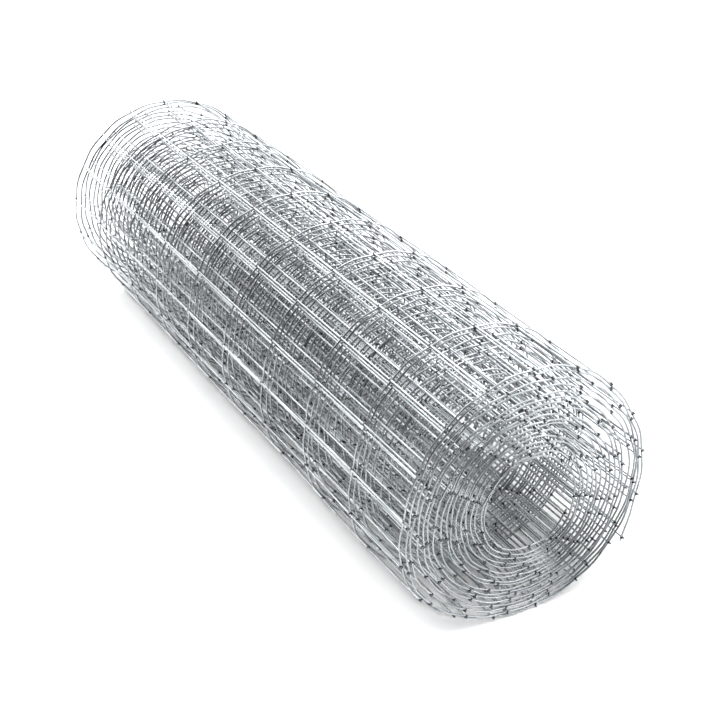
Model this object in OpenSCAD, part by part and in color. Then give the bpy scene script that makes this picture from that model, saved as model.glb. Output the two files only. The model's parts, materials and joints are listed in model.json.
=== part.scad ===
// Roll of welded wire mesh fencing, lying on its side.
// X runs along the roll, Z is up, and the origin is on the floor under the middle of the roll.
// The sheet has line wires, which run round the roll, and stays across them on the outside.
// It is wound as a spiral of half turns: each half turn is a true arc, and every second arc
// has its centre to the other side of the axis, so that the turns run on without a step.

/* [Fence] */
// Height of the fence when it stands, between the centres of its two edge line wires
fence_height = 900; // [300:100:1800]
// Diameter of the wire
wire_d = 2; // [1.4:0.1:2.6]
// Distance between two line wires, or the nearest to it that divides the height evenly
line_spacing = 100; // [50:10:150]
// Distance between two stays, which is the width of one mesh
stay_spacing = 50; // [25:5:75]
// Depth to which a stay is sunk into the line wires at its welds
weld_sink = 0.4; // [0.2:0.1:0.8]
// Length of a stay past the centres of the edge line wires
stay_overhang = 2; // [1.5:0.5:10]
// Length of the line wires past the centre of the last stay
line_overhang = 4; // [2:0.5:10]

/* [Roll] */
// Diameter of the open core
core_d = 91; // [60:1:160]
// Least room between the open core and the line wires of the innermost turn
core_room = 0.5; // [0.2:0.1:3]
// Number of turns
turns = 17; // [4:1:30]
// Free room between the stays of one turn and the line wires of the next
turn_gap = 1.7; // [0.4:0.1:6]
// Depth of the open gap between the turns, at each end of the roll
gap_depth = 12; // [4:1:40]
// Direction in which the outermost turn leaves the roll, up from level, seen from the +X end
loose_angle = -16; // [-35:1:0]
// Straight length of the outermost turn past that point
loose_l = 50; // [20:1:90]

/* [Hidden] */
// A stay stands out of the line wires by less than its diameter, because it is welded into them.
stay_stand = wire_d - weld_sink;
sheet_t = wire_d + stay_stand;
turn_pitch = sheet_t + turn_gap;
core_r = core_d / 2;
// Distance from the axis to the outside of the stays, where the outermost turn leaves the roll
roll_r = core_r + core_room + turns * turn_pitch + sheet_t;
// The centres of the half turns lie this far to each side of the axis.
arc_shift = turn_pitch / 4;
line_l = fence_height + wire_d;
line_gaps = round(fence_height / line_spacing);
// Places of the line wires along the roll
line_marks = [for (i = [0 : line_gaps]) (i / line_gaps - 0.5) * fence_height];
stay_l = fence_height + 2 * stay_overhang;
solid_l = line_l - 2 * gap_depth;
// Depth to which the line wires of the outermost turn are bedded in the turns under them
bed_depth = wire_d / 2;
$fn = 120;

// Radii of half turn number i about its own centre, counted inwards from the loose end:
// the centres of its stays, and the outer face and the centres of its line wires
function stay_r(i) = roll_r - arc_shift - wire_d / 2 - i * turn_pitch / 2;
function face_r(i) = stay_r(i) + wire_d / 2 - stay_stand;
function line_r(i) = face_r(i) - wire_d / 2;

// Places of the outermost turn's stays along its line wires, counted from where it leaves the roll
half_turn_l = PI * line_r(0);
outer_turn_l = half_turn_l + PI * line_r(1);
stay_marks = [for (s = [line_overhang - loose_l : stay_spacing : outer_turn_l]) s];

// A stay's centre in the roll's section, [level, up] from the axis, for the place s along the wires
function arc_point(i, a) = (i == 0 ? 1 : -1) * [arc_shift + stay_r(i) * cos(a), stay_r(i) * sin(a)];
function half_turn_point(i, s) = arc_point(i, s / line_r(i) * 180 / PI);
function level_point(s) =
  s < 0 ? [roll_r - wire_d / 2, s]
  : s < half_turn_l ? half_turn_point(0, s)
  : half_turn_point(1, s - half_turn_l);
function turned(p) = [
  p.x * cos(loose_angle) - p.y * sin(loose_angle),
  p.x * sin(loose_angle) + p.y * cos(loose_angle)
];
stay_points = [for (s = stay_marks) turned(level_point(s))];

// Reach of the roll from its axis, over the stays and the line wires' outer face
arc_centre = turned([arc_shift, 0]);
reach_right = max([arc_centre.x + face_r(0), for (p = stay_points) p.x + wire_d / 2]);
reach_left = max([arc_centre.x + face_r(1), for (p = stay_points) wire_d / 2 - p.x]);
reach_down = max([arc_centre.y + face_r(1), for (p = stay_points) wire_d / 2 - p.y]);
// The axis, placed so that the roll lies on the floor with its box centred
axis_y = (reach_left - reach_right) / 2;
axis_z = reach_down;

module ring(r, w) {
  difference() {
    circle(r);
    circle(r - w);
  }
}

// Half turn number i of the round section that is its child
module half_turn(i) {
  rotate(180 * i)
    translate([arc_shift, 0])
      intersection() {
        children();
        translate([-roll_r, 0])
          square([2 * roll_r, roll_r]);
      }
}

// Section of the wound body under the outermost turn, with a step under the loose end
module body_section() {
  difference() {
    for (i = [0, 1])
      half_turn(i)
        circle(face_r(i) - wire_d);
    circle(core_r);
  }
}

// Section of half turns first to last of the spiral, their wire thickened inwards by bed
module spiral_section(first, last, bed = 0) {
  for (i = [first : last])
    half_turn(i)
      ring(face_r(i), wire_d + bed);
}

// Section of a line wire of the outermost turn. Its end has sprung straight off the turn under it.
module outer_turn_section(bed) {
  spiral_section(0, 1, bed);
  translate([roll_r - sheet_t, -loose_l])
    square([wire_d, loose_l]);
}

// The turns with their axis stood on Z: the outermost as line wires, and the gaps between the
// others open at both ends
module standing_turns() {
  linear_extrude(solid_l, center = true)
    body_section();
  for (mark = line_marks)
    translate([0, 0, mark])
      linear_extrude(wire_d, center = true)
        outer_turn_section(abs(mark) < solid_l / 2 ? bed_depth : 0);
  for (side = [0, 1])
    mirror([0, 0, side])
      translate([0, 0, solid_l / 2])
        linear_extrude(gap_depth)
          spiral_section(2, 2 * turns - 1);
}

// The outermost turn's stays, along the roll
module stays() {
  for (p = stay_points)
    translate([0, p.x, p.y])
      rotate([0, 90, 0])
        cylinder(h = stay_l, d = wire_d, center = true);
}

module mesh_roll() {
  color("silver")
    translate([0, axis_y, axis_z]) {
      rotate([90, 0, 90])
        rotate([0, 0, loose_angle])
          standing_turns();
      stays();
    }
}

mesh_roll();
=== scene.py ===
"""Roll of welded wire mesh fencing, lying on its side, made wire by wire.

Line wires run round the roll in loose spirals, stays lie across them on the outside, and each
crossing is welded. Sizes are in metres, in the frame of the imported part: X runs along the roll,
Z is up, and angles in the roll's section go from +Y towards +Z, as seen from the +X end.
"""

import json
import math

import bpy
import numpy as np
from bpy.props import FloatProperty, FloatVectorProperty, IntProperty, PointerProperty
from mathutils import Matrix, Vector


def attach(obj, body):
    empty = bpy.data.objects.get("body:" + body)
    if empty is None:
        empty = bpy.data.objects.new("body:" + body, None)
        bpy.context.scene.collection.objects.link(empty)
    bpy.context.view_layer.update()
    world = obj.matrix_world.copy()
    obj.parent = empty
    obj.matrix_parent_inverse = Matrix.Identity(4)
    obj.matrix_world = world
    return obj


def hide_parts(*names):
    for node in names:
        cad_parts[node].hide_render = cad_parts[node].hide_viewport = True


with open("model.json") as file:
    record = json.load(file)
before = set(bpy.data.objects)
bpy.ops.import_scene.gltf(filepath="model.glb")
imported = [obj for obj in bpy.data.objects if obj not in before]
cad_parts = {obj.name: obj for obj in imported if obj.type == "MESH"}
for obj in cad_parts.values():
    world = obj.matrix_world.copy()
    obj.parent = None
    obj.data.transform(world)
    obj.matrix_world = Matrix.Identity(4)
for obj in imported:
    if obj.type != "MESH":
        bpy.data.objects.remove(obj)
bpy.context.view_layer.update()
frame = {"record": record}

bl_info = {
    "name": "Wire Fencing Roll",
    "version": (1, 0, 0),
    "blender": (4, 5, 0),
    "location": "3D View > Sidebar > Fencing",
    "description": "Builds a roll of welded wire mesh fencing from its wires and welds",
    "category": "Add Mesh",
}

CORE = next(mount for mount in frame["record"]["mounts"] if mount["name"] == "core")

FULL_TURN = 2 * math.pi
STEPS_A_TURN = 360
LOOSE_STEPS = STEPS_A_TURN // 10
WIRE_SIDES = 8
LINE_STEPS_A_MESH = 6
STAY_STEPS_A_MESH = 3
# The sheet's slope is taken over one of these steps to each side.
SLOPE_STEPS_A_MESH = 50
# The core's wall is shorter than the sheet is high, by this much in all.
CORE_SHORTFALL = 0.022
# A sheared wire end is rounded over this length, to this share of the wire's radius.
CUT_LENGTH = 0.0004
CUT_SHARE = 0.7
ALONG = np.array([1.0, 0.0, 0.0])
# The loose end's turn lies tight on the next one: up to here the turns take little of the free room.
PRESSED_TURNS = 0.95
TIGHTEST_SHARE = 0.05
# Slowest and quickest waves of what wanders: the gaps by turn, the ripple and the edges by length
WANDER_WAVES = 7
GAP_RATES = (0.6, 3.3)
RIPPLE_RATES = (0.4, 1.6)
RIPPLE_LENGTH, RIPPLE_WIDTH = 0.30, 0.45
EDGE_RATES = (0.4, 1.3)
EDGE_LENGTH = 0.8

# One weld as it is modelled: where its crowns start, how they are resized, and how sizes differ
WELD_SEGMENTS, WELD_RINGS = 8, 4
CROWN_START = 0.2
CROWN_RESIZE = (0.8, 0.8, 1.1)
WELD_SPREAD = (0.85, 1.15)

# What makes a wire dull, by share: patches, crystals and the wire's own tone
PATCH_SHARE, CRYSTAL_SHARE, TONE_SHARE = 0.45, 0.3, 0.25
# Levels of noise or tone between which a mark fades in
PATCH_LEVELS = (0.35, 0.68)
# The burn levels pick which crossings are darkened beside the weld: partly real burn, partly painted shade.
BURN_AND_SHADE_LEVELS = (0.2, 0.42)
BROWN_LEVELS = (0.93, 1.0)
BROWN_GRAIN_LEVELS = (0.35, 0.6)
SOOT_LEVELS = (0.1, 0.45)
# The darkening beside a weld, partly real burn and partly painted shade of the crossing, is full up to this
# share of its length.
FULL_BURN_AND_SHADE = 0.35
# Grain and relief of the weld scale, the sheared ends and the floor
SCALE_GRAIN, SCALE_RELIEF = 0.0008, 0.0002
SHEAR_GRAIN, SHEAR_RELIEF, STAIN_GRAIN = 0.0003, 0.0001, 0.004
FLOOR_GRAIN, FLOOR_SHADE = 0.02, 0.985
FLOOR_SIDES = 96

# Places where a turn stands off the next one: turn counted from the outside, angle, width, extra gap
NEAR_LOOSE_PLACES = (
    (1, math.radians(105), math.radians(35), 0.0052),
    (3, math.radians(118), math.radians(36), 0.0060),
    (1, math.radians(220), math.radians(20), 0.0040),
)
FAR_LOOSE_PLACES = (
    (0, math.radians(174), math.radians(48), 0.0042),
)
# Dents and swellings of the rim: angle, width, height above the even spiral
NEAR_RIM_DENTS = (
    (math.radians(36), math.radians(24), -0.0040),
    (math.radians(166), math.radians(22), -0.0040),
    (math.radians(207), math.radians(22), 0.0035),
    (math.radians(270), math.radians(32), -0.0030),
)
FAR_RIM_DENTS = (
    (math.radians(100), math.radians(45), -0.0040),
    (math.radians(185), math.radians(45), 0.0020),
    (math.radians(270), math.radians(36), -0.0028),
)
# Soft boxes of the studio: direction, cosines at the outer and the inner edge, brightness
SOFT_BOXES = (
    ((0.10, 0.80, 0.60), 0.30, 0.70, 2.15),
    ((-0.85, 0.00, 0.53), 0.55, 0.72, 2.3),
)
# Lamps that light the floor alone: direction, strength, width
FLOOR_LAMPS = (
    ((0.71, -0.38, 0.59), 2.0, math.radians(6)),
    ((0.15, -0.10, 0.98), 3.8, math.radians(70)),
)


class SheetSizes(bpy.types.PropertyGroup):
    """Sizes of the flat welded sheet."""

    wire_diameter: FloatProperty(
        name="Wire diameter", description="Diameter of every wire",
        default=0.002, min=0.001, max=0.004, unit="LENGTH",
    )
    height: FloatProperty(
        name="Height", description="Height of the fence, between the centres of its edge line wires",
        default=CORE["dims"]["length_mm"] / 1000 + CORE_SHORTFALL, min=0.2, max=2.0, unit="LENGTH",
    )
    line_count: IntProperty(
        name="Line wires", description="Number of line wires across the sheet",
        default=10, min=3, max=20,
    )
    stay_spacing: FloatProperty(
        name="Stay spacing", description="Distance between two stays along the line wires",
        default=0.05, min=0.025, max=0.1, unit="LENGTH",
    )
    weld_sink: FloatProperty(
        name="Weld sink", description="Depth to which a stay is sunk into the line wires",
        default=0.0004, min=0.0001, max=0.001, unit="LENGTH",
    )
    stay_overhang: FloatProperty(
        name="Stay overhang", description="Length of a stay past the edge line wires",
        default=0.002, min=0.001, max=0.02, unit="LENGTH",
    )
    line_overhang: FloatProperty(
        name="Line overhang", description="Length of the line wires past the first and last stay",
        default=0.004, min=0.001, max=0.02, unit="LENGTH",
    )
    weld_width: FloatProperty(
        name="Weld width", description="Width of the lump of metal at a crossing",
        default=0.0024, min=0.002, max=0.006, unit="LENGTH",
    )
    weld_depth: FloatProperty(
        name="Weld depth", description="Depth of that lump, out from the roll",
        default=0.0022, min=0.001, max=0.004, unit="LENGTH",
    )


class RollSizes(bpy.types.PropertyGroup):
    """How the sheet is wound, and how uneven the winding is."""

    turns: IntProperty(
        name="Turns", description="Number of turns", default=17, min=4, max=30,
    )
    turn_pitch: FloatProperty(
        name="Turn pitch", description="Mean distance from one turn to the next",
        default=0.0053, min=0.004, max=0.01, unit="LENGTH",
    )
    core_room: FloatProperty(
        name="Core room", description="Room between the open core and the innermost turn",
        default=0.0005, min=0.0, max=0.01, unit="LENGTH",
    )
    least_gap: FloatProperty(
        name="Least gap", description="Distance from turn to turn where they press together",
        default=0.0037, min=0.003, max=0.005, unit="LENGTH",
    )
    gap_spread: FloatProperty(
        name="Gap spread", description="How unevenly the free room is shared among the turns",
        default=0.4, min=0.0, max=1.5,
    )
    looser_outside: FloatProperty(
        name="Looser outside", description="How much more free room the outer turns have than the inner",
        default=0.2, min=-1.0, max=1.0,
    )
    take_up: FloatProperty(
        name="Take-up", description="Wire that small waves take up, as a share of the winding's length",
        default=0.016, min=0.0, max=0.1,
    )
    loose_angle: FloatProperty(
        name="Loose angle", description="Where the outermost turn leaves the roll",
        default=math.radians(-16), subtype="ANGLE",
    )
    loose_length: FloatProperty(
        name="Loose length", description="Straight length of the sheet past that place",
        default=0.05, min=0.0, max=0.2, unit="LENGTH",
    )
    scallop: FloatProperty(
        name="Scallop", description="How far a line wire bows out between two stays",
        default=0.0014, min=0.0, max=0.004, unit="LENGTH",
    )
    ripple: FloatProperty(
        name="Ripple", description="Uneven height of the sheet along and across it",
        default=0.0006, min=0.0, max=0.003, unit="LENGTH",
    )
    core_sag: FloatProperty(
        name="Core sag", description="How far the open core hangs below the roll's axis",
        default=0.0039, min=0.0, max=0.02, unit="LENGTH",
    )
    core_slide: FloatProperty(
        name="Core slide", description="How far the innermost turn has slid out of the +X end",
        default=0.007, min=0.0, max=0.03, unit="LENGTH",
    )
    edge_wander: FloatProperty(
        name="Edge wander", description="How far the sheet's edges wander from turn to turn",
        default=0.0006, min=0.0, max=0.01, unit="LENGTH",
    )
    near_seed: IntProperty(
        name="Near seed", description="Pattern of the gaps at the +X end", default=5, min=0,
    )
    far_seed: IntProperty(
        name="Far seed", description="Pattern of the gaps at the -X end", default=13, min=0,
    )


class FinishColours(bpy.types.PropertyGroup):
    """Colours and grain of the galvanised wire."""

    bright_zinc: FloatVectorProperty(
        name="Bright zinc", description="Colour of the clean zinc coating",
        default=(0.62, 0.635, 0.645), size=3, min=0.0, max=1.0, subtype="COLOR",
    )
    dull_zinc: FloatVectorProperty(
        name="Dull zinc", description="Colour of the weathered patches of the coating",
        default=(0.40, 0.415, 0.43), size=3, min=0.0, max=1.0, subtype="COLOR",
    )
    # Dark colour of the welds and of the cut-end stains, also used as painted shade beside each crossing.
    burnt_zinc_and_shade: FloatVectorProperty(
        name="Burnt zinc", description="Colour of the welds and of the coating beside them",
        default=(0.035, 0.036, 0.039), size=3, min=0.0, max=1.0, subtype="COLOR",
    )
    weld_rust: FloatVectorProperty(
        name="Weld rust", description="Brown tint of a few welds",
        default=(0.16, 0.095, 0.05), size=3, min=0.0, max=1.0, subtype="COLOR",
    )
    cut_steel: FloatVectorProperty(
        name="Cut steel", description="Colour of the sheared wire ends",
        default=(0.10, 0.10, 0.105), size=3, min=0.0, max=1.0, subtype="COLOR",
    )
    spangle_size: FloatProperty(
        name="Spangle size", description="Width of a crystal of the zinc coating",
        default=0.003, min=0.0005, max=0.02, unit="LENGTH",
    )
    patch_size: FloatProperty(
        name="Patch size", description="Width of a dull patch",
        default=0.045, min=0.005, max=0.3, unit="LENGTH",
    )
    zinc_roughness: FloatProperty(
        name="Zinc roughness", description="Roughness of the clean zinc coating",
        default=0.20, min=0.0, max=1.0, subtype="FACTOR",
    )
    dull_roughness: FloatProperty(
        name="Dull roughness", description="How much rougher the dull coating is",
        default=0.14, min=0.0, max=1.0, subtype="FACTOR",
    )
    spangle_relief: FloatProperty(
        name="Spangle relief", description="Height of the coating's grain",
        default=0.00006, min=0.0, max=0.001, unit="LENGTH",
    )
    # Spread of the darkening beside welds, which is partly real burn and partly painted shade.
    burn_and_shade_spread: FloatProperty(
        name="Burn spread", description="Distance over which welds are darker or cleaner than others",
        default=0.02, min=0.001, max=0.3, unit="LENGTH",
    )
    # The darkened length beside a weld is partly real burn and partly painted shade of the crossing.
    burn_and_shade_length: FloatProperty(
        name="Burn length", description="Length of wire that a weld has darkened, to each side",
        default=0.0013, min=0.0, max=0.01, unit="LENGTH",
    )


class StageSizes(bpy.types.PropertyGroup):
    """Floor, light and camera."""

    floor_radius: FloatProperty(
        name="Floor radius", description="Radius of the round floor, and height of the wall round it",
        default=12.0, min=2.0, unit="LENGTH",
    )
    floor_colour: FloatVectorProperty(
        name="Floor colour", description="Colour of the floor and the wall",
        default=(0.92, 0.92, 0.92), size=3, min=0.0, max=1.0, subtype="COLOR",
    )
    wall_glow: FloatProperty(
        name="Wall glow", description="Brightness of the wall", default=1.2, min=0.0, max=2.0,
    )
    fill_light: FloatProperty(
        name="Fill light", description="Brightness of the studio all round", default=0.05, min=0.0,
    )
    floor_glow: FloatProperty(
        name="Floor glow", description="Brightness of the floor in full shadow",
        default=0.06, min=0.0, max=1.0,
    )
    picture_gamma: FloatProperty(
        name="Picture gamma", description="Below 1, middle tones of the picture are darker",
        default=0.64, min=0.2, max=2.0,
    )
    camera_place: FloatVectorProperty(
        name="Camera place", description="Where the camera stands",
        default=(1.4376, -0.7046, 0.9036), size=3, subtype="TRANSLATION",
    )
    camera_azimuth: FloatProperty(
        name="Camera azimuth", description="Direction of view, turned from +Y",
        default=math.radians(61.9), subtype="ANGLE",
    )
    camera_elevation: FloatProperty(
        name="Camera elevation", description="How far the camera looks down",
        default=math.radians(27.4), subtype="ANGLE",
    )
    camera_lens: FloatProperty(
        name="Camera lens", description="Focal length in millimetres on a 36 mm sensor",
        default=75.6, min=10.0,
    )


class FenceRollSettings(bpy.types.PropertyGroup):
    """All settings of the roll and its stage."""

    sheet: PointerProperty(type=SheetSizes)
    roll: PointerProperty(type=RollSizes)
    finish: PointerProperty(type=FinishColours)
    stage: PointerProperty(type=StageSizes)


def unit(vectors):
    """The same vectors with a length of one."""
    return vectors / np.linalg.norm(vectors, axis=-1, keepdims=True)


def wander(along, slowest, quickest, seed):
    """A smooth, seeded wander of about one up and down, with waves of these rates."""
    draw = np.random.default_rng(seed)
    rates = draw.uniform(slowest, quickest, WANDER_WAVES)
    starts = draw.uniform(0, FULL_TURN, WANDER_WAVES)
    total = sum(np.sin(FULL_TURN * rate * along + start) for rate, start in zip(rates, starts))
    return total / math.sqrt(WANDER_WAVES / 2)


def bump(distance, width):
    """A round bump of height one, this wide to each side."""
    return np.exp(-np.square(distance / width))


def angle_between(angles, angle):
    """Signed difference of angles, the short way round."""
    return np.mod(angles - angle + math.pi, FULL_TURN) - math.pi


def wound_radii(roll, rim_radius, core_radius, dents, loose_places, seed):
    """Radius of the line wires at each step of the winding, inwards from where the loose end leaves it.

    Each turn lies inside the one before it by the least gap, what stands off there, and its share of
    the free room. The shares wander along the sheet, so that turns bunch in one place and part in another.
    """
    share = np.arange(STEPS_A_TURN + 1) / STEPS_A_TURN
    angle = roll.loose_angle + FULL_TURN * share
    turn = np.arange(roll.turns - 1)[:, None] + share
    weight = np.exp(roll.gap_spread * wander(turn, *GAP_RATES, seed))
    weight *= 1 + roll.looser_outside * (1 - 2 * turn / roll.turns)
    weight *= np.clip(turn - PRESSED_TURNS, TIGHTEST_SHARE, 1)
    gaps = np.full_like(turn, roll.least_gap)
    for number, place, width, extra in loose_places:
        middle = number + np.mod(place - roll.loose_angle, FULL_TURN) / FULL_TURN
        gaps += extra * bump(FULL_TURN * (turn - middle), width)
    rim = rim_radius + sum(
        height * bump(angle_between(angle, place), width) for place, width, height in dents
    )
    core = core_radius + roll.turn_pitch * (1 - share) - roll.core_sag * np.sin(angle)
    first_free = rim[0] - core[0] - gaps[:, 0].sum()
    first_gap = gaps[0, 0] + first_free * weight[0, 0] / weight[:, 0].sum()
    rim = rim - first_gap * share
    free = (rim - core - gaps.sum(axis=0)) / weight.sum(axis=0)
    free += (free[0] - free[-1]) * share
    gaps += free * weight
    radii = np.vstack([rim, rim - np.cumsum(gaps, axis=0)])
    return np.append(radii[:, :-1], radii[-1, -1])


class Winding:
    """Where the wound sheet lies, by length along it from the loose end and by place across it."""

    def __init__(self, settings):
        sheet, roll = settings.sheet, settings.roll
        self.roll = roll
        self.wire_radius = sheet.wire_diameter / 2
        self.stand = sheet.wire_diameter - sheet.weld_sink
        self.axis_y, self.axis_z = CORE["pos_m"][1:]
        self.edge = sheet.height / 2
        self.lines = np.linspace(-self.edge, self.edge, sheet.line_count)

        core_radius = CORE["dims"]["r_mm"] / 1000 + roll.core_room + self.wire_radius
        rim_radius = core_radius + roll.turns * roll.turn_pitch
        tip = -math.atan2(roll.loose_length, rim_radius)
        loose = np.linspace(tip, 0, LOOSE_STEPS, endpoint=False)
        wound = np.arange(roll.turns * STEPS_A_TURN + 1) * FULL_TURN / STEPS_A_TURN
        self.angles = roll.loose_angle + np.append(loose, wound)
        rims = (roll, rim_radius, core_radius)
        near = wound_radii(*rims, NEAR_RIM_DENTS, NEAR_LOOSE_PLACES, roll.near_seed)
        far = wound_radii(*rims, FAR_RIM_DENTS, FAR_LOOSE_PLACES, roll.far_seed)
        self.near_radii = np.append(near[0] / np.cos(loose), near)
        self.far_radii = np.append(far[0] / np.cos(loose), far)

        radii = (self.near_radii + self.far_radii) / 2
        steps = np.hypot(np.diff(radii), radii[1:] * np.diff(self.angles))
        self.lengths = np.append(0, np.cumsum(steps)) * (1 + roll.take_up)
        self.spacing = sheet.stay_spacing
        self.first_stay = sheet.line_overhang
        stay_count = int((self.lengths[-1] - 2 * sheet.line_overhang) / self.spacing) + 1
        self.stays = self.first_stay + self.spacing * np.arange(stay_count)
        self.end = self.stays[-1] + sheet.line_overhang

        self.rise = 0.0
        stays = self.stay_centres(self.stays[:, None], self.lines)
        meshes = self.line_centres(even_steps(self.stays, LINE_STEPS_A_MESH)[:, None], self.lines)
        self.rise = self.wire_radius - min(stays[..., 2].min(), meshes[..., 2].min())

    def line_centres(self, along, across):
        """Centres of the line wires."""
        along, across = np.broadcast_arrays(along, across)
        angle = np.interp(along, self.lengths, self.angles)
        near = np.interp(along, self.lengths, self.near_radii)
        far = np.interp(along, self.lengths, self.far_radii)
        nearness = (across + self.edge) / (2 * self.edge)
        mesh = (along - self.first_stay) / self.spacing
        radius = near * nearness + far * (1 - nearness)
        radius = radius - self.roll.scallop / 2 * np.cos(FULL_TURN * mesh)
        waves = along / RIPPLE_LENGTH + across / RIPPLE_WIDTH
        radius = radius + self.roll.ripple * wander(waves, *RIPPLE_RATES, self.roll.near_seed + 1)
        edges = wander(along / EDGE_LENGTH, *EDGE_RATES, self.roll.near_seed + 2)
        slide = self.roll.core_slide * along / self.end + self.roll.edge_wander * edges
        return np.stack([
            across + slide,
            self.axis_y + radius * np.cos(angle),
            self.axis_z + self.rise + radius * np.sin(angle),
        ], axis=-1)

    def directions(self, along, across):
        """Unit vectors of the sheet: along the line wires, and out from the roll."""
        step = self.spacing / SLOPE_STEPS_A_MESH
        forward = self.line_centres(along + step, across) - self.line_centres(along - step, across)
        forward = unit(forward)
        return forward, unit(np.cross(forward, ALONG))

    def stay_centres(self, along, across):
        """Centres of the stays, which are sunk into the outside of the line wires."""
        outward = self.directions(along, across)[1]
        return self.line_centres(along, across) + self.stand * outward

    def weld_centres(self, along, across):
        """Middles of the crossings."""
        outward = self.directions(along, across)[1]
        return self.line_centres(along, across) + self.stand / 2 * outward


def even_steps(stops, steps):
    """Numbers from stop to stop, with this many steps between two stops."""
    between = [np.linspace(a, b, steps, endpoint=False) for a, b in zip(stops[:-1], stops[1:])]
    return np.append(np.concatenate(between), stops[-1])


def wire_stations(first, stops, last, steps):
    """Places of a wire's rings: close together at its two cut ends, and even steps between the stops."""
    middle = even_steps(stops, steps)
    return np.concatenate([[first, first + CUT_LENGTH], middle, [last - CUT_LENGTH, last]])


def add_wires(name, centres, across, stations, tones, radius, materials):
    """One mesh of round wires. Their centres are given wire by wire and ring by ring."""
    wires, rings = centres.shape[:2]
    forward = unit(np.gradient(centres, axis=1))
    first = unit(across - forward * np.sum(across * forward, axis=-1, keepdims=True))
    second = np.cross(forward, first)
    turn = FULL_TURN * np.arange(WIRE_SIDES) / WIRE_SIDES
    radii = np.full(rings, radius)
    radii[[0, -1]] *= CUT_SHARE
    out = first[:, :, None] * np.cos(turn)[:, None] + second[:, :, None] * np.sin(turn)[:, None]
    points = centres[:, :, None] + radii[:, None, None] * out

    number = np.arange(wires * rings * WIRE_SIDES).reshape(wires, rings, WIRE_SIDES)
    here, there = number[:, :-1], number[:, 1:]
    sides = np.stack([here, np.roll(here, -1, axis=2), np.roll(there, -1, axis=2), there], axis=-1)
    sides = sides.reshape(-1, 4).tolist()
    ends = number[:, 0, ::-1].tolist() + number[:, -1].tolist()
    mesh = bpy.data.meshes.new(name)
    mesh.from_pydata(points.reshape(-1, 3), [], sides + ends)
    for slot in materials:
        mesh.materials.append(slot)
    mesh.polygons.foreach_set("material_index", [0] * len(sides) + [1] * len(ends))
    mesh.polygons.foreach_set("use_smooth", [True] * len(sides) + [False] * len(ends))
    put_attribute(mesh, "along_wire", np.broadcast_to(stations[None, :, None], number.shape))
    put_attribute(mesh, "wire_tone", np.broadcast_to(tones[:, None, None], number.shape))
    return add_piece(name, mesh)


def put_attribute(mesh, name, values):
    """Gives each point of a mesh its own number, for the materials."""
    attribute = mesh.attributes.new(name, "FLOAT", "POINT")
    attribute.data.foreach_set("value", np.ascontiguousarray(values, np.float32).ravel())


def add_piece(name, mesh):
    """Puts a finished mesh into the scene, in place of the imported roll."""
    mesh.update()
    mesh.validate()
    piece = bpy.data.objects.new(name, mesh)
    bpy.context.scene.collection.objects.link(piece)
    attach(piece, "root")
    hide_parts("mesh_roll")
    return piece


class Value:
    """A shader socket. Sums on values add their Math nodes to the finish."""

    def __init__(self, finish, socket):
        self.finish = finish
        self.socket = socket

    def __add__(self, other):
        return self.finish.math("ADD", self, other)

    def __radd__(self, other):
        return self.finish.math("ADD", other, self)

    def __sub__(self, other):
        return self.finish.math("SUBTRACT", self, other)

    def __rsub__(self, other):
        return self.finish.math("SUBTRACT", other, self)

    def __mul__(self, other):
        return self.finish.math("MULTIPLY", self, other)

    def __rmul__(self, other):
        return self.finish.math("MULTIPLY", other, self)


class Shading:
    """A tree of shader nodes, put together node by node."""

    def __init__(self, tree):
        self.tree = tree

    def node(self, kind, settings=(), sockets=(), output=0):
        """Adds a node, with its settings first and then its sockets, and gives one of its outputs."""
        node = self.tree.nodes.new(kind)
        for name, value in dict(settings).items():
            setattr(node, name, value)
        for name, value in dict(sockets).items():
            self.feed(node.inputs[name], value)
        return Value(self, node.outputs[output])

    def feed(self, socket, value):
        """Links a value to a socket, or sets a plain number or colour on it."""
        if isinstance(value, Value):
            self.tree.links.new(value.socket, socket)
        else:
            socket.default_value = value

    def math(self, operation, *values):
        """A Math node on values and numbers."""
        return self.node("ShaderNodeMath", {"operation": operation}, enumerate(values))

    def ramp(self, value, low, high):
        """0 below low, 1 above high, and a smooth step between."""
        return self.node(
            "ShaderNodeMapRange", {"interpolation_type": "SMOOTHSTEP"},
            {"Value": value, "From Min": low, "From Max": high},
        )

    def towards(self, vector, direction):
        """How far a vector points in a direction, which has a length of one."""
        return self.node(
            "ShaderNodeVectorMath", {"operation": "DOT_PRODUCT"}, {0: vector, 1: direction}, "Value",
        )


class Finish(Shading):
    """A procedural material."""

    def __init__(self, name):
        self.material = bpy.data.materials.new(name)
        self.material.use_nodes = True
        super().__init__(self.material.node_tree)
        self.shader = self.tree.nodes["Principled BSDF"]
        self.place = self.node("ShaderNodeTexCoord", output="Object")

    def blend(self, share, first, second):
        """A blend of two colours."""
        return self.node("ShaderNodeMix", {"data_type": "RGBA"}, {0: share, 6: first, 7: second}, 2)

    def grain(self, size, detail):
        """Soft noise whose lumps have this size."""
        return self.node(
            "ShaderNodeTexNoise", {}, {"Vector": self.place, "Scale": 1 / size, "Detail": detail},
        )

    def crystals(self, size):
        """A random number for each cell of a pattern of crystals of this size."""
        return self.node(
            "ShaderNodeTexVoronoi", {}, {"Vector": self.place, "Scale": 1 / size}, "Color",
        )

    def attribute(self, name):
        """A number that the mesh holds."""
        return self.node("ShaderNodeAttribute", {"attribute_name": name}, output="Fac")

    def bumps(self, height, distance):
        """A normal that follows a height, whose full range is this distance."""
        return self.node("ShaderNodeBump", {}, {"Height": height, "Distance": distance}, "Normal")

    def surface(self, **sockets):
        """Feeds the shader, by its sockets' names with _ for a space, and gives the material."""
        for name, value in sockets.items():
            self.feed(self.shader.inputs[name.replace("_", " ")], value)
        return self.material


def opaque(colour):
    """A colour property as the four numbers of a colour socket."""
    return (*colour, 1.0)


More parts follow.
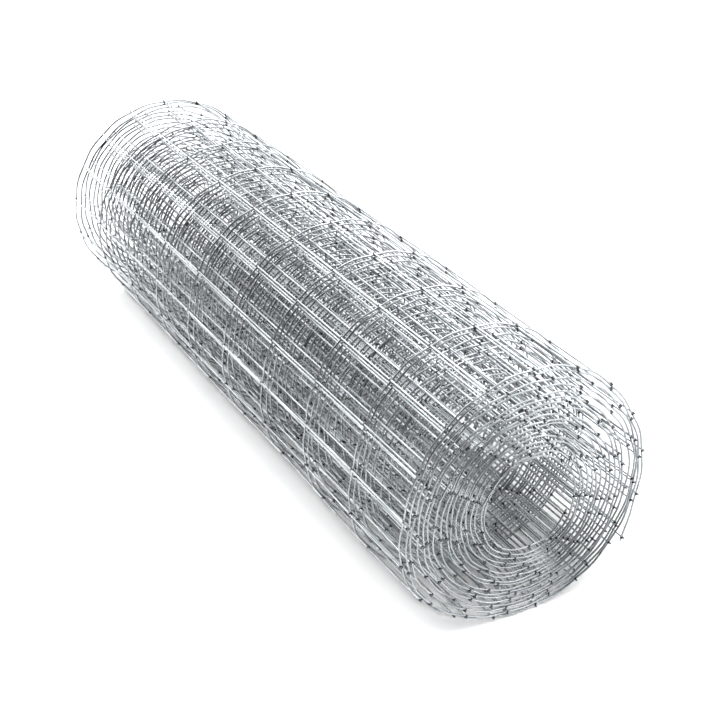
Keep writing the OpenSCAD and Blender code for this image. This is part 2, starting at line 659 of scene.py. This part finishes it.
def galvanised_finish(name, colours, first_weld, weld_spacing):
    """Zinc on drawn wire: mottled crystals, dull patches, and dark coating beside each weld, partly real
    burnt zinc and partly painted shade where the wires cross.
    """
    zinc = Finish(name)
    crystals = zinc.crystals(colours.spangle_size)
    grain = zinc.grain(colours.spangle_size / 4, 2.0)
    patches = zinc.ramp(zinc.grain(colours.patch_size, 3.0), *PATCH_LEVELS)
    tone = zinc.attribute("wire_tone")
    dullness = patches * PATCH_SHARE + crystals * CRYSTAL_SHARE + tone * TONE_SHARE
    from_weld = zinc.math("PINGPONG", zinc.attribute("along_wire") - first_weld, weld_spacing / 2)
    ragged = from_weld + (grain - 0.5) * colours.burn_and_shade_length
    # Painted shade: the wire is darkened beside each crossing, partly as real weld burn and partly in place
    # of the shade between the crossing wires.
    burn_and_shade = 1 - zinc.ramp(ragged, colours.burn_and_shade_length * FULL_BURN_AND_SHADE, colours.burn_and_shade_length)
    burn_and_shade = burn_and_shade * zinc.ramp(zinc.grain(colours.burn_and_shade_spread, 1.0), *BURN_AND_SHADE_LEVELS)
    clean = zinc.blend(dullness, opaque(colours.bright_zinc), opaque(colours.dull_zinc))
    return zinc.surface(
        Base_Color=zinc.blend(burn_and_shade, clean, opaque(colours.burnt_zinc_and_shade)),
        Metallic=1 - burn_and_shade * 0.3,
        Roughness=colours.zinc_roughness + dullness * colours.dull_roughness + burn_and_shade * 0.3,
        Normal=zinc.bumps(grain + crystals * 0.5, colours.spangle_relief),
    )


def weld_finish(name, colours):
    """Burnt zinc and scale on the welds, with a brown tint on a few."""
    scale = Finish(name)
    grain = scale.grain(SCALE_GRAIN, 3.0)
    tone = scale.attribute("wire_tone")
    brown = scale.ramp(tone, *BROWN_LEVELS) * scale.ramp(grain, *BROWN_GRAIN_LEVELS)
    soot = scale.ramp(tone + (grain - 0.5) * 0.5, *SOOT_LEVELS)
    sooty = scale.blend(soot, opaque(colours.dull_zinc), opaque(colours.burnt_zinc_and_shade))
    return scale.surface(
        Base_Color=scale.blend(brown, sooty, opaque(colours.weld_rust)),
        Metallic=0.9 - soot * 0.4 - brown * 0.4,
        Roughness=0.35 + soot * 0.25,
        Normal=scale.bumps(grain, SCALE_RELIEF),
    )


def cut_finish(name, colours):
    """Bare sheared steel, with the marks of the shear across it."""
    steel = Finish(name)
    marks = steel.grain(SHEAR_GRAIN, 2.0)
    stain = steel.grain(STAIN_GRAIN, 2.0)
    return steel.surface(
        Base_Color=steel.blend(stain, opaque(colours.cut_steel), opaque(colours.burnt_zinc_and_shade)),
        Metallic=0.8,
        Roughness=0.4 + marks * 0.3,
        Normal=steel.bumps(marks, SHEAR_RELIEF),
    )


def pale_grain(finish, stage):
    """A faint grain, and the colour of the floor and the wall with it."""
    grain = finish.grain(FLOOR_GRAIN, 2.0)
    shade = tuple(FLOOR_SHADE * part for part in stage.floor_colour)
    return grain, finish.blend(grain, opaque(stage.floor_colour), opaque(shade))


def floor_finish(name, stage):
    """Pale studio floor with a faint grain."""
    floor = Finish(name)
    grain, colour = pale_grain(floor, stage)
    return floor.surface(
        Base_Color=colour,
        Roughness=0.75 + grain * 0.1,
        Emission_Color=colour,
        Emission_Strength=stage.floor_glow,
    )


def wall_finish(name, stage):
    """Pale wall that is lit evenly, with the floor's faint grain."""
    wall = Finish(name)
    return wall.surface(
        Base_Color=(0, 0, 0, 1),
        Emission_Color=pale_grain(wall, stage)[1],
        Emission_Strength=stage.wall_glow,
    )


def wire_tones(count, seed):
    """A random dullness for each wire."""
    return np.random.default_rng(seed).uniform(0, 1, count)


class FENCE_ROLL_OT_add_line_wires(bpy.types.Operator):
    """Adds the line wires, which run round the roll from its loose end to its core"""

    bl_idname = "fence_roll.add_line_wires"
    bl_label = "Line Wires"

    def execute(self, context):
        settings = context.scene.fence_roll
        winding = Winding(settings)
        stations = wire_stations(0, winding.stays, winding.end, LINE_STEPS_A_MESH)
        materials = [
            galvanised_finish("galvanised_line_wire", settings.finish, winding.first_stay, winding.spacing),
            cut_finish("line_wire_cut", settings.finish),
        ]
        centres = winding.line_centres(stations[None, :], winding.lines[:, None])
        tones = wire_tones(len(winding.lines), settings.roll.near_seed)
        add_wires("line_wires", centres, ALONG, stations, tones, winding.wire_radius, materials)
        return {"FINISHED"}


class FENCE_ROLL_OT_add_stays(bpy.types.Operator):
    """Adds the stays, which lie along the roll on the outside of the line wires"""

    bl_idname = "fence_roll.add_stays"
    bl_label = "Stays"

    def execute(self, context):
        settings = context.scene.fence_roll
        winding = Winding(settings)
        reach = winding.edge + settings.sheet.stay_overhang
        places = wire_stations(-reach, winding.lines, reach, STAY_STEPS_A_MESH)
        line_spacing = winding.lines[1] - winding.lines[0]
        materials = [
            galvanised_finish("galvanised_stay", settings.finish, winding.lines[0], line_spacing),
            cut_finish("stay_cut", settings.finish),
        ]
        centres = winding.stay_centres(winding.stays[:, None], places[None, :])
        outward = winding.directions(winding.stays[:, None], places[None, :])[1]
        tones = wire_tones(len(winding.stays), settings.roll.far_seed)
        add_wires("stays", centres, outward, places, tones, winding.wire_radius, materials)
        return {"FINISHED"}


def model_weld():
    """Models one weld, about one unit wide and deep: a round lump with two narrow, raised crowns."""
    bpy.ops.object.select_all(action="DESELECT")
    bpy.ops.mesh.primitive_uv_sphere_add(segments=WELD_SEGMENTS, ring_count=WELD_RINGS, radius=0.5)
    weld = bpy.context.object
    bpy.ops.object.mode_set(mode="EDIT")
    bpy.ops.mesh.select_all(action="DESELECT")
    bpy.ops.object.mode_set(mode="OBJECT")
    for vertex in weld.data.vertices:
        vertex.select = abs(vertex.co.z) > CROWN_START
    bpy.ops.object.mode_set(mode="EDIT")
    bpy.ops.transform.resize(value=CROWN_RESIZE)
    bpy.ops.object.mode_set(mode="OBJECT")
    return weld


class FENCE_ROLL_OT_add_welds(bpy.types.Operator):
    """Adds the welds, one lump of metal at every crossing of a stay and a line wire"""

    bl_idname = "fence_roll.add_welds"
    bl_label = "Welds"

    def execute(self, context):
        settings = context.scene.fence_roll
        sheet = settings.sheet
        winding = Winding(settings)
        weld = model_weld()
        shape = np.array([vertex.co for vertex in weld.data.vertices])
        faces = [np.array(face.vertices) for face in weld.data.polygons]
        bpy.data.objects.remove(weld)

        along, across = winding.stays[:, None], winding.lines[None, :]
        middles = winding.weld_centres(along, across).reshape(-1, 1, 3)
        forward, outward = winding.directions(along, across)
        forward = forward.reshape(-1, 1, 3)
        outward = outward.reshape(-1, 1, 3)
        sideways = np.cross(outward, forward)
        draw = np.random.default_rng(settings.roll.near_seed)
        count = len(middles)
        sizes = (sheet.weld_width, sheet.weld_width, sheet.weld_depth)
        local = shape[None] * (draw.uniform(*WELD_SPREAD, (count, 1, 3)) * sizes)
        points = middles + local[..., :1] * forward + local[..., 1:2] * sideways + local[..., 2:] * outward

        mesh = bpy.data.meshes.new("welds")
        starts = len(shape) * np.arange(count)
        all_faces = [(face + start).tolist() for start in starts for face in faces]
        mesh.from_pydata(points.reshape(-1, 3), [], all_faces)
        mesh.materials.append(weld_finish("burnt_weld", settings.finish))
        mesh.polygons.foreach_set("use_smooth", [True] * len(mesh.polygons))
        tones = draw.uniform(0, 1, (count, 1))
        put_attribute(mesh, "wire_tone", np.broadcast_to(tones, (count, len(shape))))
        add_piece("welds", mesh)
        return {"FINISHED"}


def light_studio(world, stage):
    """Dim light all round, with soft boxes high on the +Y side and past the -X end. The floor takes none."""
    world.use_nodes = True
    studio = Shading(world.node_tree)
    sight = studio.node("ShaderNodeTexCoord", output="Generated")
    level = stage.fill_light
    for direction, outer, inner, brightness in SOFT_BOXES:
        nearness = studio.towards(sight, unit(np.array(direction)))
        level = level + brightness * studio.ramp(nearness, outer, inner)
    background = world.node_tree.nodes["Background"]
    studio.feed(background.inputs["Color"], (1, 1, 1, 1))
    studio.feed(background.inputs["Strength"], level)
    world.cycles_visibility.diffuse = False


def add_floor(stage):
    """Round floor that catches the roll's shadow."""
    bpy.ops.object.select_all(action="DESELECT")
    bpy.ops.mesh.primitive_circle_add(
        vertices=FLOOR_SIDES, radius=stage.floor_radius, fill_type="NGON",
    )
    floor = bpy.context.object
    floor.name = "floor"
    floor.data.materials.append(floor_finish("studio_floor", stage))
    return floor


def add_floor_lamps(floor):
    """Lamps that light the floor alone: a narrow one from near the camera and a wide one from above."""
    lit = bpy.data.collections.new("lit_by_lamps")
    lit.objects.link(floor)
    for direction, strength, width in FLOOR_LAMPS:
        turn = Vector(direction).to_track_quat("Z", "Y").to_euler()
        bpy.ops.object.light_add(type="SUN", rotation=turn)
        lamp = bpy.context.object
        lamp.data.energy = strength
        lamp.data.angle = width
        lamp.light_linking.receiver_collection = lit


def add_wall(stage):
    """Wall round the floor. Light passes through it, so that only the camera sees it."""
    bpy.ops.object.select_all(action="DESELECT")
    bpy.ops.mesh.primitive_circle_add(vertices=FLOOR_SIDES, radius=stage.floor_radius)
    wall = bpy.context.object
    wall.name = "wall"
    bpy.ops.object.mode_set(mode="EDIT")
    bpy.ops.mesh.select_all(action="SELECT")
    bpy.ops.mesh.extrude_edges_move(TRANSFORM_OT_translate={"value": (0, 0, stage.floor_radius)})
    bpy.ops.object.mode_set(mode="OBJECT")
    wall.data.materials.append(wall_finish("studio_wall", stage))
    wall.visible_diffuse = False
    wall.visible_glossy = False
    wall.visible_shadow = False


class FENCE_ROLL_OT_set_stage(bpy.types.Operator):
    """Sets the floor and the wall, the studio light and the camera"""

    bl_idname = "fence_roll.set_stage"
    bl_label = "Stage"

    def execute(self, context):
        stage = context.scene.fence_roll.stage
        add_floor_lamps(add_floor(stage))
        add_wall(stage)
        if context.scene.world is None:
            context.scene.world = bpy.data.worlds.new("studio")
        light_studio(context.scene.world, stage)

        downwards = math.radians(90) - stage.camera_elevation
        turn = (downwards, 0, stage.camera_azimuth)
        bpy.ops.object.camera_add(location=stage.camera_place, rotation=turn)
        camera = context.object
        camera.data.lens = stage.camera_lens
        context.scene.camera = camera
        context.scene.view_settings.view_transform = "Standard"
        context.scene.view_settings.gamma = stage.picture_gamma
        return {"FINISHED"}


class FENCE_ROLL_PT_pieces(bpy.types.Panel):
    """Lists the pieces of the roll, its stage and their settings"""

    bl_idname = "FENCE_ROLL_PT_pieces"
    bl_label = "Wire Fencing Roll"
    bl_space_type = "VIEW_3D"
    bl_region_type = "UI"
    bl_category = "Fencing"

    def draw(self, context):
        settings = context.scene.fence_roll
        for operator in OPERATORS:
            self.layout.operator(operator.bl_idname)
        for group in (settings.sheet, settings.roll, settings.finish, settings.stage):
            box = self.layout.box()
            for name in group.__annotations__:
                box.prop(group, name)


OPERATORS = (
    FENCE_ROLL_OT_add_line_wires,
    FENCE_ROLL_OT_add_stays,
    FENCE_ROLL_OT_add_welds,
    FENCE_ROLL_OT_set_stage,
)
SETTINGS = (SheetSizes, RollSizes, FinishColours, StageSizes, FenceRollSettings)
CLASSES = (*SETTINGS, *OPERATORS, FENCE_ROLL_PT_pieces)


def register():
    """Registers the settings, the operators and the panel."""
    for made in CLASSES:
        bpy.utils.register_class(made)
    bpy.types.Scene.fence_roll = PointerProperty(type=FenceRollSettings)


def unregister():
    """Takes them out again."""
    del bpy.types.Scene.fence_roll
    for made in reversed(CLASSES):
        bpy.utils.unregister_class(made)


def main():
    """Builds the roll and its stage."""
    register()
    bpy.ops.fence_roll.add_line_wires()
    bpy.ops.fence_roll.add_stays()
    bpy.ops.fence_roll.add_welds()
    bpy.ops.fence_roll.set_stage()


if __name__ == "__main__":
    main()
